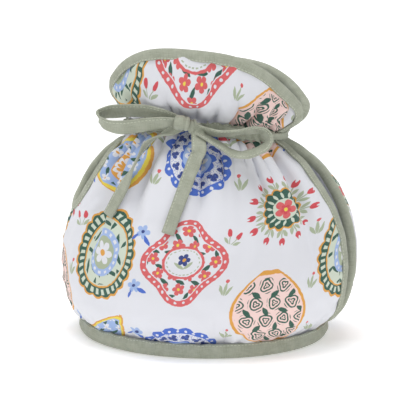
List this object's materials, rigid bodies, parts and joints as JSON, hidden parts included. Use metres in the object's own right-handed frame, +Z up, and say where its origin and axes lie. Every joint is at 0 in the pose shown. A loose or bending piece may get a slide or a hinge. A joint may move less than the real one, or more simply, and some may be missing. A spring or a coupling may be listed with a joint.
{
  "type": "drawstring tea cosy",
  "caption": "Padded drawstring tea cosy with a frilled top, bound handle slit and spout hole, and a tape bow at the front; hollow, standing on its hem.",
  "frame": {"origin": "on the surface the hem stands on, under the middle of the whole piece", "axes": "+Z up; -Y towards the front, where the bow is; +X towards the handle slit, so the spout hole is near -X"},
  "size_m": [0.2395, 0.2065, 0.2414],
  "materials": {
    "print_cloth": "matt padded white cotton printed with flower medallions and small sprigs in blue, red, pink, green and mustard",
    "green_cloth": "matt sage-green cotton tape, stitched along its edges"
  },
  "bodies": {
    "root": {"front_panel": "print_cloth", "back_panel": "print_cloth", "rim_binding": "green_cloth", "spout_binding": "green_cloth", "hem_band": "green_cloth", "casing_long": "green_cloth", "casing_short": "green_cloth", "tie": "green_cloth"}
  },
  "joints": []
}
